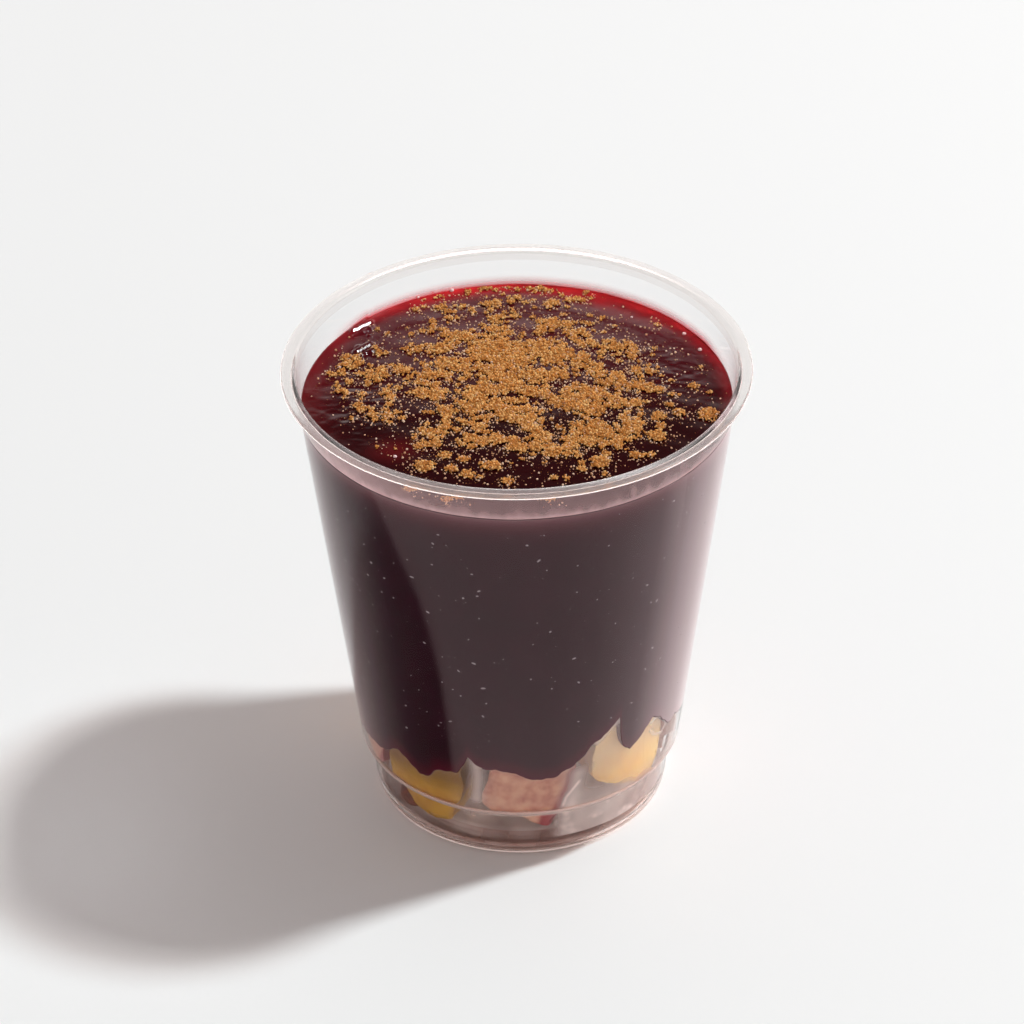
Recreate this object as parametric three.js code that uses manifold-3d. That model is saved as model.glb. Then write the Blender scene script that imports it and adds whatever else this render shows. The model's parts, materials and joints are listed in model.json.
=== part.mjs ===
// Clear plastic cup of purple corn pudding, with fruit pieces at the foot and ground cinnamon on top.
// Millimetres, +Z up, the cup's axis on Z, its foot on Z = 0, and the best side towards -Y.
import * as THREE from "three";
import { mergeVertices } from "three/addons/utils/BufferGeometryUtils.js";
import Module from "manifold-3d";

const wasm = await Module();
wasm.setup();

// Cup
const CUP_HEIGHT = 102;
const RIM_RADIUS = 47.5;
const RIM_THICKNESS = 1;
const RIM_DROOP = 0.3;
const MOUTH_RADIUS = 44.3;
const WALL = 0.5;
const FOOT_RADIUS = 28.8;
const FOOT_INNER_RADIUS = 27;
const HEEL_RADIUS = 31;
const CREASE_RADIUS = 31.7;
const CREASE_HEIGHT = 11.8;
const CONE_BASE = [33.7, 13.6];
const CONE_TOP = [44.6, 99];
const FLOOR_RISE = 2.6;
const AROUND = 64;

// Pudding and fruit
const FILL_HEIGHT = 93.6;
const DOME = 0.9;
const MENISCUS = 0.3;
const GAP = 0.3;
const FLOOR_TOP = FLOOR_RISE + 0.6 + WALL;
const CORE_RADIUS = 9;
const UNDERSIDE = 23;
const OUTLINE_DISTANCE = 31;

// The pudding's lower edge on the wall: degrees from the best side, positive towards +X, and height.
const LOWER_EDGE = [
  [-180, 27], [-171, 22], [-163, 21], [-156, 27], [-149, 31], [-143, 26], [-136, 21],
  [-128, 20], [-121, 24], [-115, 29], [-108, 27], [-100, 21], [-90, 19.5], [-81, 18.6],
  [-72, 18.8], [-64, 19.4], [-57.4, 19.4], [-51, 22.2], [-46.4, 23], [-43, 22.1],
  [-41, 20.5], [-38, 19.6], [-35.3, 19.2], [-32, 21.3], [-29, 22.8], [-25, 23.4],
  [-22, 23.5], [-20, 25.8], [-18, 28.4], [-15.3, 26.8], [-12.6, 25.9], [-9, 26],
  [-4, 25.4], [-0.5, 24.3], [3, 23.3], [8, 23], [12, 23.5], [15, 24.8], [18.3, 26.3],
  [21.7, 28.5], [23.4, 30.4], [27, 31.5], [30, 33], [32.7, 34.6], [34.3, 35.7],
  [34.9, 30.8], [36.4, 27.4], [40, 25.2], [42.7, 26], [45.3, 27.6], [47, 29], [49.5, 30],
  [54, 28.6], [59, 25.2], [63, 23.6], [66, 24.4], [70, 23.2], [76, 22.2], [84, 20.4],
  [92, 22.5], [99, 27.4], [105, 30.6], [111, 27.2], [118, 22.4], [127, 20.2], [136, 23],
  [143, 28.6], [150, 30.2], [157, 25], [164, 20.6], [172, 23.4], [180, 27],
];

// Fruit pieces: direction in degrees, outline as [along the wall, height], and reach from the axis.
const FRUIT = {
  pineapple_left: {
    at: -36,
    reach: [19, 36],
    colour: 0xc88a3c,
    outline: [
      [-10.6, 19], [-9.8, 12.8], [-8, 9.2], [-5.5, 6.4], [-1.6, 5.4], [4.1, 6.6],
      [5.2, 11.6], [7.4, 15], [8.4, 19.4], [7.6, 26], [0, 28.5], [-9.4, 26],
    ],
  },
  quince_front: {
    at: 2,
    reach: [18, 36],
    colour: 0xd6a08a,
    outline: [
      [-8.4, 20], [-9.1, 15], [-5.6, 12.6], [-1.5, 11.2], [1.4, 8.6], [4.6, 7.4],
      [6.6, 11.2], [7.8, 16.3], [9.2, 19.4], [10.2, 24], [8, 28.5], [-6.4, 28.8],
    ],
  },
  pineapple_right: {
    at: 38,
    reach: [17, 36],
    colour: 0xe8b878,
    outline: [
      [-6.6, 26], [-6.8, 19.4], [2.6, 14.2], [7.5, 12.2], [9.4, 13.3], [10.7, 16.9],
      [12.3, 20.3], [13.1, 22.4], [11.6, 29.6], [5, 31.6], [-3.8, 32.4],
    ],
  },
  quince_side: {
    at: 96,
    reach: [17, 36],
    colour: 0xd6a08a,
    outline: [
      [-8.6, 21], [-9.4, 13], [-7, 6.8], [-1, 5.4], [5.2, 7.4], [7.6, 12], [8.8, 19],
      [7.4, 27], [0, 30], [-6.6, 27.6],
    ],
  },
  pineapple_back_right: {
    at: 143,
    reach: [18, 36],
    colour: 0xc88a3c,
    outline: [
      [-8.8, 24], [-9.8, 14], [-7.4, 7], [-0.6, 5.4], [6.4, 6.6], [8.6, 12.4],
      [9.6, 20], [6.6, 28], [-1, 30.6],
    ],
  },
  quince_back: {
    at: -168,
    reach: [16, 36],
    colour: 0xd6a08a,
    outline: [
      [-8.4, 18], [-8.8, 12], [-5, 6.2], [1.4, 5.4], [7.6, 8], [9.2, 15.6], [8, 24],
      [2, 28], [-5.6, 26.4],
    ],
  },
  pineapple_back_left: {
    at: -122,
    reach: [18, 36],
    colour: 0xe8b878,
    outline: [
      [-9, 20], [-10, 12.6], [-6.2, 6.4], [2, 5.6], [8.2, 7.8], [9.4, 14], [9, 22],
      [4.2, 28.6], [-5, 28.4],
    ],
  },
  quince_left: {
    at: -72,
    reach: [22, 36],
    colour: 0xd6a08a,
    outline: [
      [-4, 21], [-3.6, 16.5], [-2, 14.4], [3.5, 13.2], [6.6, 14.6], [7, 18],
      [5.4, 23.4], [0, 26], [-3.6, 24.6],
    ],
  },
};
const PRUNE = { at: -53.8, distance: 27.6, height: 6.4, size: [2.8, 1.9, 2.3], colour: 0x4a2412 };

// Cinnamon clumps that lie apart, as [x, y, radius], largest first.
const CLUMPS = [
  [38, -7.2, 2.5], [16, -24.6, 2.5], [-18.5, -25.1, 2.3], [27.8, -15.3, 2.2], [-5, -25.4, 2.1],
  [28.2, -8.1, 1.9], [-10, -28.2, 1.7], [24, -3.3, 1.7], [-13, -26.2, 1.6], [-14.5, -21.4, 1.6],
  [32.5, -7.1, 1.6], [23.4, -22.1, 1.6], [-21, -32.2, 1.6], [-2, -30.8, 1.5], [-11.5, -34.8, 1.5],
  [6, -35.9, 1.5], [28.6, -11.6, 1.4], [26, -21.8, 1.3], [-14, -36.1, 1.3], [35.7, 3.3, 1.2],
  [30.5, -4, 1.2], [-11, -22.8, 1.2], [17.6, -21.5, 1.2],
];
// Drifts of cinnamon, as [x, y, half length, half width, turn in degrees].
const DRIFTS = [
  [-4, 15.9, 6.5, 4.6, -30], [-5.5, 20, 3.6, 3, 0], [5.5, 16.4, 6, 3.6, -15], [-12, 10.4, 5.2, 2.8, -10],
  [-3, 9.3, 4.6, 4.6, 0], [6, 7.3, 5.4, 2.6, 5], [-17, 5.9, 3.4, 2, 20], [-18, 1, 3.6, 1.8, -20],
  [-5, 2.7, 6.6, 2.6, 15], [3.5, 0.7, 3.6, 1.8, 0], [14, -0.1, 4.8, 2.2, -10], [12, -4.2, 5.4, 2.8, -30],
  [-2, -5.2, 6.2, 2.5, -25], [0, -8.2, 4.6, 2.2, -15], [3.4, -12.5, 5.4, 2, -62],
  [-14.6, -5.7, 2.3, 2.1, 0], [15, -13.5, 4.4, 3.2, 10], [22.3, -11.8, 2, 4.8, -8],
  [20, -17.4, 2.8, 2.6, 0], [7, -20.4, 4.8, 2, -18], [-3, -16.6, 5.2, 1.8, -8], [-9, -17, 2.8, 1.8, 0],
  [8, 27.2, 3.8, 1.7, 5], [12.4, 23.2, 3.4, 2.4, -48], [20.5, 17.6, 3.8, 2.5, -45],
  [27, 1.7, 2.2, 1.7, 0], [-5, 25.7, 2.8, 1.8, 10], [-5, 35.6, 2.5, 1.8, 0], [-29, 7.9, 2.8, 2.6, 0],
];

function seeded(seed) {
  let state = seed;
  return () => {
    state = (state * 1664525 + 1013904223) % 4294967296;
    return state / 4294967296;
  };
}

function rad(degrees) {
  return THREE.MathUtils.degToRad(degrees);
}

// A point at a distance from the axis, with the direction in degrees from the best side.
function onRing(radius, degrees, z) {
  return new THREE.Vector3(radius * Math.sin(rad(degrees)), -radius * Math.cos(rad(degrees)), z);
}

function solid(geometry) {
  const bare = geometry.clone();
  for (const name of ["normal", "uv"]) bare.deleteAttribute(name);
  const merged = mergeVertices(bare, 1e-4);
  return new wasm.Manifold(
    new wasm.Mesh({
      numProp: 3,
      vertProperties: new Float32Array(merged.attributes.position.array),
      triVerts: new Uint32Array(merged.index.array),
    }),
  );
}

function geometryOf(body) {
  const mesh = body.getMesh();
  const geometry = new THREE.BufferGeometry();
  geometry.setAttribute("position", new THREE.BufferAttribute(mesh.vertProperties, 3));
  geometry.setIndex(new THREE.BufferAttribute(mesh.triVerts, 1));
  geometry.computeVertexNormals();
  return geometry;
}

// The body of largest volume, for a cut that can leave slivers.
function largest(body) {
  return body.decompose().reduce((a, b) => (a.volume() > b.volume() ? a : b));
}

function lathe(points) {
  const profile = points.map(([r, z]) => new THREE.Vector2(r, z));
  return new THREE.LatheGeometry(profile, AROUND).rotateX(Math.PI / 2);
}

// Inner radius of the cup at a height.
function innerRadius(z) {
  const slope = (CONE_TOP[0] - CONE_BASE[0]) / (CONE_TOP[1] - CONE_BASE[1]);
  if (z >= CONE_BASE[1]) return CONE_BASE[0] - WALL + slope * (z - CONE_BASE[1]);
  const heel = HEEL_RADIUS - WALL;
  return heel + (CREASE_RADIUS - HEEL_RADIUS) * Math.max(0, (z - 4) / (CREASE_HEIGHT - 4));
}

function cupGeometry() {
  return lathe([
    [0, FLOOR_RISE + 0.6],
    [FOOT_INNER_RADIUS - 6, FLOOR_RISE],
    [FOOT_INNER_RADIUS - 0.9, FLOOR_RISE - 0.4],
    [FOOT_INNER_RADIUS - 0.2, 0.5],
    [FOOT_INNER_RADIUS + 0.2, 0],
    [FOOT_RADIUS, 0],
    [FOOT_RADIUS + 1.5, 0.7],
    [HEEL_RADIUS - 0.2, 2.3],
    [HEEL_RADIUS, 4.2],
    [CREASE_RADIUS, CREASE_HEIGHT],
    [CONE_BASE[0] - 0.5, CONE_BASE[1] - 0.9],
    CONE_BASE,
    CONE_TOP,
    [MOUTH_RADIUS + 0.9, CUP_HEIGHT - RIM_THICKNESS],
    [RIM_RADIUS - 0.6, CUP_HEIGHT - RIM_THICKNESS - RIM_DROOP],
    [RIM_RADIUS, CUP_HEIGHT - RIM_THICKNESS / 2 - RIM_DROOP],
    [RIM_RADIUS - 0.5, CUP_HEIGHT - RIM_DROOP],
    [MOUTH_RADIUS + 0.8, CUP_HEIGHT],
    [MOUTH_RADIUS + 0.1, CUP_HEIGHT - 0.3],
    [CONE_TOP[0] - WALL, CONE_TOP[1]],
    [CONE_BASE[0] - WALL, CONE_BASE[1]],
    [CONE_BASE[0] - 0.5 - WALL, CONE_BASE[1] - 0.6],
    [CREASE_RADIUS - WALL, CREASE_HEIGHT + 0.2],
    [HEEL_RADIUS - WALL, 4.4],
    [HEEL_RADIUS - 0.4 - WALL, 2.6],
    [FOOT_RADIUS + 1.1 - WALL, 1.1],
    [FOOT_RADIUS - 0.3, 0.6],
    [FOOT_INNER_RADIUS + 0.5, 0.6],
    [FOOT_INNER_RADIUS - 0.3, FLOOR_RISE],
    [FOOT_INNER_RADIUS - 6, FLOOR_RISE + WALL],
    [0, FLOOR_TOP],
  ]);
}

// The room inside the cup that a fruit piece can fill: further from the wall where pudding covers it.
function fruitRoom(growth) {
  const clear = (z, gap) => [innerRadius(z) - gap + growth, z];
  return solid(
    lathe([
      [0, FLOOR_TOP + 0.3 - growth],
      [FOOT_INNER_RADIUS, FLOOR_TOP + 0.3 - growth],
      clear(6, 0.9),
      clear(CREASE_HEIGHT, 0.6),
      clear(CONE_BASE[1] + 3, 0.8),
      clear(24, 1.7),
      clear(40, 1.7),
      [0, 40],
    ]),
  );
}

// An outline with each corner moved out by a distance.
function grown(outline, distance) {
  return outline.map(([x, y], i) => {
    const [px, py] = outline.at(i - 1);
    const [nx, ny] = outline[(i + 1) % outline.length];
    const a = new THREE.Vector2(y - py, px - x).normalize();
    const b = new THREE.Vector2(ny - y, x - nx).normalize();
    const out = a.clone().add(b).normalize();
    const reach = distance / Math.max(0.6, out.dot(a));
    return [x + out.x * reach, y + out.y * reach];
  });
}

// Narrows a piece towards the cup's axis, so that it keeps clear of its neighbours.
function taper(geometry, start) {
  const points = geometry.attributes.position;
  for (let i = 0; i < points.count; i++)
    points.setX(i, (points.getX(i) * (start + points.getZ(i))) / OUTLINE_DISTANCE);
}

function fruitSolid({ at, outline, reach }, growth) {
  const shape = new THREE.Shape(grown(outline, growth).map(([x, y]) => new THREE.Vector2(x, y)));
  const depth = reach[1] - reach[0];
  const geometry = new THREE.ExtrudeGeometry(shape, {
    depth,
    bevelEnabled: true,
    bevelThickness: 2 + growth,
    bevelSize: 2,
    bevelOffset: -2,
    bevelSegments: 2,
  });
  taper(geometry, reach[0]);
  const outward = onRing(1, at, 0);
  const along = new THREE.Vector3(Math.cos(rad(at)), Math.sin(rad(at)), 0);
  const turn = new THREE.Matrix4().makeBasis(along, new THREE.Vector3(0, 0, 1), outward);
  turn.setPosition(outward.clone().multiplyScalar(reach[0]));
  return solid(geometry.applyMatrix4(turn)).intersect(fruitRoom(growth));
}

function pruneGeometry(growth) {
  const { at, distance, height, size } = PRUNE;
  const geometry = new THREE.IcosahedronGeometry(1, 2);
  const [a, b, c] = size.map((half) => half + growth);
  geometry.scale(a, b, c).rotateY(0.5).rotateZ(rad(at));
  const place = onRing(distance, at, height);
  return geometry.translate(place.x, place.y, place.z);
}

// A fruit piece, cut back where the prune lies against it.
function beside(piece) {
  return piece.subtract(solid(pruneGeometry(GAP)));
}

function lowerEdge(degrees) {
  const i = LOWER_EDGE.findIndex(([at]) => at >= degrees);
  if (i <= 0) return LOWER_EDGE[0][1];
  const [a, za] = LOWER_EDGE[i - 1];
  const [b, zb] = LOWER_EDGE[i];
  return za + ((zb - za) * (degrees - a)) / (b - a);
}

// Height of the pudding's domed and wavy top.
function topHeight(x, y) {
  const waves = 0.08 * Math.sin(0.31 * x + 0.74 * y) + 0.06 * Math.sin(0.52 * x - 0.38 * y + 1.3);
  const ridges = 0.1 * Math.sin(0.9 * y + 0.22 * x) * Math.min(1, Math.hypot(x, y) / 40);
  const dome = DOME * (1 - (x * x + y * y) / innerRadius(FILL_HEIGHT) ** 2);
  return FILL_HEIGHT + dome + waves + ridges;
}

// The pudding's profile in each direction, from the top down the wall and in to the foot of its core.
function puddingRows() {
  const wall = innerRadius(FILL_HEIGHT) - GAP;
  const top = [5.5, 11, 16.5, 21.5, 26, 30, 33.5, 36.5, 39, 41, wall - 1.1];
  const rows = top.map((r) => (degrees) => {
    const at = onRing(r, degrees, 0);
    return [r, topHeight(at.x, at.y)];
  });
  rows.push(() => [innerRadius(FILL_HEIGHT + MENISCUS) - GAP, FILL_HEIGHT + MENISCUS]);
  rows.push((degrees) => {
    const z = lowerEdge(degrees);
    return [innerRadius(z) - GAP, z];
  });
  rows.push((degrees) => {
    const z = lowerEdge(degrees);
    return [innerRadius(z) - GAP - 1.4, z + 0.5];
  });
  rows.push((degrees) => [26, UNDERSIDE + 1 + 1.5 * Math.sin(rad(5 * degrees))]);
  rows.push((degrees) => [17, UNDERSIDE + 1.2 * Math.sin(rad(4 * degrees + 40))]);
  rows.push((degrees) => [CORE_RADIUS + 3, 14 + 1.5 * Math.sin(rad(3 * degrees))]);
  rows.push(() => [CORE_RADIUS, FLOOR_TOP + GAP]);
  return rows;
}

// One closed body from rings of points, round the axis from the top centre to the bottom centre.
function ringBody(angles, rows, topZ, bottomZ) {
  const count = angles.length;
  const points = [0, 0, topZ];
  for (const row of rows)
    for (const degrees of angles) {
      const [radius, z] = row(degrees);
      points.push(...onRing(radius, degrees, z).toArray());
    }
  points.push(0, 0, bottomZ);
  const last = rows.length * count + 1;
  const faces = [];
  for (let i = 0; i < count; i++) {
    const j = (i + 1) % count;
    faces.push(0, 1 + i, 1 + j, last, last - count + j, last - count + i);
    for (let row = 0; row < rows.length - 1; row++) {
      const a = 1 + row * count;
      const b = a + count;
      faces.push(a + i, b + i, b + j, a + i, b + j, a + j);
    }
  }
  const geometry = new THREE.BufferGeometry();
  geometry.setAttribute("position", new THREE.Float32BufferAttribute(points, 3));
  return geometry.setIndex(faces);
}

// Columns of the pudding: even steps, with more of them where its lower edge was drawn finely.
function puddingAngles() {
  const step = 360 / AROUND;
  const fine = LOWER_EDGE.map(([at]) => at).filter((at) => at > -65 && at < 72);
  const even = Array.from({ length: AROUND }, (_, i) => -180 + i * step);
  const coarse = even.filter((at) => fine.every((near) => Math.abs(near - at) > 1.8));
  return [...coarse, ...fine].sort((a, b) => a - b);
}

// A lump with a flat foot that sinks below the surface under it.
function lumpGeometry(x, y, length, width, turn, height, random) {
  const geometry = new THREE.IcosahedronGeometry(1, 0);
  const tilt = rad(360 * random());
  geometry.rotateZ(tilt).scale(length, width, height).rotateZ(rad(turn));
  return geometry.translate(x, y, topHeight(x, y) + 0.1);
}

function puddingSolid(fruit) {
  const angles = puddingAngles();
  const body = ringBody(angles, puddingRows(), topHeight(0, 0), FLOOR_TOP + GAP);
  const random = seeded(7);
  let pudding = solid(body);
  for (const cutter of fruit) pudding = pudding.subtract(cutter);
  pudding = largest(pudding);
  for (const [x, y, length, width, turn] of DRIFTS)
    pudding = pudding.add(solid(lumpGeometry(x, y, length, width, turn, 0.9, random)));
  for (const [x, y, radius] of CLUMPS)
    pudding = pudding.add(solid(lumpGeometry(x, y, radius, radius, 0, 0.62 * radius, random)));
  return pudding;
}

function addPart(root, name, geometry, colour, settings = {}) {
  const material = new THREE.MeshStandardMaterial({ color: colour, ...settings });
  const mesh = new THREE.Mesh(geometry, material);
  mesh.name = name;
  root.add(mesh);
}

const root = new THREE.Group();
addPart(root, "cup", cupGeometry(), 0xf4f4f4, { transparent: true, opacity: 0.35, roughness: 0.1 });
const cutters = Object.values(FRUIT).map((piece) => fruitSolid(piece, GAP));
cutters.push(solid(pruneGeometry(GAP)));
addPart(root, "pudding", geometryOf(puddingSolid(cutters)), 0x2a0a14, { roughness: 0.2 });
for (const [name, piece] of Object.entries(FRUIT))
  addPart(root, name, geometryOf(beside(fruitSolid(piece, 0))), piece.colour, { roughness: 0.5 });
addPart(root, "prune_left", pruneGeometry(0), PRUNE.colour, { roughness: 0.6 });

export default root;
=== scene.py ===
# Looks of a clear cup of purple corn pudding: fruit at its foot, ground cinnamon on top.
# Sizes are in millimetres and become metres where a mesh is made. +Z is up, the best side faces -Y.
import json
import math

import bpy
import numpy as np
from mathutils import Matrix, Vector, noise


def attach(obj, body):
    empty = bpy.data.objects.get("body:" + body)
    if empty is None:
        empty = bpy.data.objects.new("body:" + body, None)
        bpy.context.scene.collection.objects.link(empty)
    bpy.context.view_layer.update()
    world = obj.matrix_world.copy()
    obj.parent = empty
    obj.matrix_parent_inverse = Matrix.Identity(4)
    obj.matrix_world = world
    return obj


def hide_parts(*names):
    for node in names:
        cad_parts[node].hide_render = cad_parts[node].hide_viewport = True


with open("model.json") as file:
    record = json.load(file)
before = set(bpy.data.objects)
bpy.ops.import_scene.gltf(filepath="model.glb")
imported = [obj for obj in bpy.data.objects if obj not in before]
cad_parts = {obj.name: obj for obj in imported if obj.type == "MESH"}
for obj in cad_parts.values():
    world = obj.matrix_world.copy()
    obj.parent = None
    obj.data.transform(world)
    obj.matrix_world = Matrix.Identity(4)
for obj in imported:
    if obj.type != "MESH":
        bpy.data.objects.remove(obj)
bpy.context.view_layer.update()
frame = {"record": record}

MM = 0.001

# Cup, as the frame has it
CUP_HEIGHT = 102.0
RIM_RADIUS = 47.5
RIM_THICKNESS = 1.0
RIM_DROOP = 0.3
MOUTH_RADIUS = 44.3
WALL = 0.5
FOOT_RADIUS = 28.8
FOOT_INNER_RADIUS = 27.0
HEEL_RADIUS = 31.0
HEEL_TOP = 4.0
CREASE_RADIUS = 31.7
CREASE_HEIGHT = 11.8
CONE_BASE = (33.7, 13.6)
CONE_TOP = (44.6, 99.0)
FLOOR_RISE = 2.6
FLOOR_TOP = FLOOR_RISE + 0.6 + WALL
CUP_STEPS = 256
PLASTIC_IOR = 1.2
MILKY_FOLDS = [(0.0, 1.6), (10.9, 14.2)]  # heights where the folded plastic looks milky

# Pudding
FILL_HEIGHT = 93.6
DOME = 0.9
MENISCUS = 0.3
MENISCUS_REACH = 1.5
INTO_WALL = 0.12
FILM_TOP = 101.2
FILM_FOOT = 4.6
FILM_GAP = 0.06
UNDERSIDE = 24.0
CORE_RADIUS = 9.0
PUDDING_STEPS = 560
PUDDING_RINGS = 128
WALL_RINGS = 30

# The pudding's lower edge on the wall: degrees from the best side, positive towards +X, and height.
LOWER_EDGE = [
    (-180, 27), (-171, 22), (-163, 21), (-156, 27), (-149, 31), (-143, 26), (-136, 21),
    (-128, 20), (-121, 24), (-115, 29), (-108, 27), (-100, 21), (-90, 19.5), (-81, 18.6),
    (-72, 18.8), (-64, 19.4), (-57.4, 19.4), (-51, 22.2), (-46.4, 23), (-43, 22.1),
    (-41, 20.5), (-38, 19.6), (-35.3, 19.2), (-32, 21.3), (-29, 22.8), (-25, 23.4),
    (-22, 23.5), (-20, 25.8), (-18, 28.4), (-15.3, 26.8), (-12.6, 25.9), (-9, 26),
    (-4, 25.4), (-0.5, 24.3), (3, 23.3), (8, 23), (12, 23.5), (15, 24.8), (18.3, 26.3),
    (21.7, 28.5), (23.4, 30.4), (27, 31.5), (30, 33), (32.7, 34.6), (34.3, 35.7),
    (34.9, 30.8), (36.4, 27.4), (40, 25.2), (42.7, 26), (45.3, 27.6), (47, 29), (49.5, 30),
    (54, 28.6), (59, 25.2), (63, 23.6), (66, 24.4), (70, 23.2), (76, 22.2), (84, 20.4),
    (92, 22.5), (99, 27.4), (105, 30.6), (111, 27.2), (118, 22.4), (127, 20.2), (136, 23),
    (143, 28.6), (150, 30.2), (157, 25), (164, 20.6), (172, 23.4), (180, 27),
]

# Cinnamon: drifts as (x, y, half length, half width, turn in degrees, how densely it covers).
DRIFTS = [
    (-4, 15.9, 6.5, 4.6, -30, 0.9), (-5.5, 20, 3.6, 3, 0, 0.8), (5.5, 16.4, 6, 3.6, -15, 0.85),
    (-12, 10.4, 5.2, 2.8, -10, 0.85), (-3, 9.3, 4.6, 4.6, 0, 0.8), (6, 7.3, 5.4, 2.6, 5, 0.75),
    (-17, 5.9, 3.4, 2, 20, 0.85), (-18, 1, 3.6, 1.8, -20, 0.9), (-5, 2.7, 6.6, 2.6, 15, 0.9),
    (3.5, 0.7, 3.6, 1.8, 0, 0.8), (14, -0.1, 4.8, 2.2, -10, 0.85), (12, -4.2, 5.4, 2.8, -30, 0.9),
    (-2, -5.2, 6.2, 2.5, -25, 0.85), (0, -8.2, 4.6, 2.2, -15, 0.85),
    (3.4, -12.5, 5.4, 2, -62, 0.9), (-9, -3.2, 3.2, 3, 0, 0.6), (-14.6, -5.7, 2.3, 2.1, 0, 0.85),
    (15, -13.5, 4.4, 3.2, 10, 0.95), (22.3, -11.8, 2, 4.8, -8, 0.95),
    (13, -16.9, 4.4, 1.8, -10, 0.7), (20, -17.4, 2.8, 2.6, 0, 0.85), (7, -20.4, 4.8, 2, -18, 0.95),
    (-3, -16.6, 5.2, 1.8, -8, 0.85), (-9, -17, 2.8, 1.8, 0, 0.8), (0, -19, 4, 1.5, -10, 0.6),
    (-18, -17.8, 2.8, 1.6, 0, 0.55), (-17, -13.5, 3.2, 2.2, 30, 0.5),
    (-13.5, -11, 2.4, 1.8, 0, 0.65), (-8, -11.1, 2.2, 3.2, 0, 0.6), (8, 27.2, 3.8, 1.7, 5, 0.85),
    (12.4, 23.2, 3.4, 2.4, -48, 0.85), (5, 25.1, 2.2, 1.6, 0, 0.5), (15.4, 19.6, 2.4, 1.8, 0, 0.6),
    (20.5, 17.6, 3.8, 2.5, -45, 0.8), (23, 14.2, 2, 1.6, -40, 0.65), (17, 15.7, 1.8, 2, 0, 0.5),
    (25.6, 9.2, 2.8, 1.6, 10, 0.6), (28, 6.3, 1.8, 1.6, 0, 0.4), (23, 3.7, 3.2, 1.8, 0, 0.6),
    (27, 1.7, 2.2, 1.7, 0, 0.8), (18.4, 5, 2.2, 1.8, 0, 0.65), (20, -3.6, 3.6, 2.2, 0, 0.6),
    (15, 8.9, 3.4, 2.6, 0, 0.45), (13, 12.9, 2.4, 1.8, 0, 0.4), (-5, 25.7, 2.8, 1.8, 10, 0.8),
    (-1.6, 23.1, 2.2, 1.4, 0, 0.5), (-13.5, 22.8, 5.6, 2, -4, 0.65), (-18, 25.4, 3.4, 2, 0, 0.35),
    (-19, 17.6, 3.4, 2.2, 0, 0.4), (-15, 18.1, 3.2, 2.4, 0, 0.45), (-27.4, 17.4, 1.3, 1, 0, 0.6),
    (-5, 35.6, 2.5, 1.8, 0, 0.85), (3.5, 34.5, 1.2, 1, 0, 0.7), (8, 34.5, 1.4, 1.8, 0, 0.55),
    (-2, 30.3, 2.8, 2.2, 30, 0.65), (0, 37, 1.6, 1.8, 0, 0.5), (-14, 33.6, 3.4, 2, 0, 0.3),
    (-16, 29.5, 3.4, 2, 0, 0.25), (15.4, 28.4, 1.8, 1.6, 0, 0.4), (12, 36.3, 3.2, 1.6, 0, 0.35),
    (-6, 41.2, 5, 1.4, 6, 0.3), (5, 42.3, 6, 1.2, -4, 0.35), (14.6, 38.8, 2.6, 1.4, -20, 0.35),
    (-33.5, 13.6, 2.7, 2.4, 0, 0.7), (-29, 7.9, 2.8, 2.6, 0, 0.75), (-27, 10.9, 1.5, 1.3, 0, 0.6),
    (-22.5, 10.1, 1.4, 1.4, 0, 0.8), (-36.2, 9.7, 1.8, 2.4, 0, 0.3), (-36, 4.6, 1.6, 1.7, 0, 0.6),
    (-31.4, -3.2, 2, 1.6, -20, 0.8), (-28, -6.7, 3, 1.4, 0, 0.65), (-25, -4.8, 2.4, 2, 0, 0.4),
    (-25, 1.6, 1.8, 2.4, 0, 0.6), (-33, 1.5, 3.4, 2, 0, 0.22), (-21.6, 6.1, 2, 2, 0, 0.3),
]
# Clumps that lie apart, as (x, y, half width, height).
CLUMPS = [
    (38, -7.2, 2.5, 1.1), (-18.5, -25.1, 2.3, 1), (16, -24.6, 2.5, 1), (27.8, -15.3, 2.2, 1),
    (-5, -25.4, 2.1, 0.9), (-10, -28.2, 1.7, 0.8), (-13, -26.2, 1.6, 0.7),
    (-14.5, -21.4, 1.6, 0.7), (-2, -30.8, 1.5, 0.7), (32.5, -7.1, 1.6, 0.8),
    (28.2, -8.1, 1.9, 0.6), (28.6, -11.6, 1.4, 0.5), (23.4, -22.1, 1.6, 0.6),
    (26, -21.8, 1.3, 0.5), (35.7, 3.3, 1.2, 0.6), (30.5, -4, 1.2, 0.5), (12.5, -26.6, 1.1, 0.5),
    (7, -29.6, 1, 0.45), (9.5, -29.8, 0.9, 0.4), (-11, -22.8, 1.2, 0.5), (17.6, -21.5, 1.2, 0.5),
    (39, 0.8, 0.8, 0.4), (24, -3.3, 1.7, 0.6), (-21, -32.2, 1.6, 0.5), (-14, -36.1, 1.3, 0.5),
    (-11.5, -34.8, 1.5, 0.5), (6, -35.9, 1.5, 0.5), (-28, 16, 0.9, 0.4),
]

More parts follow.
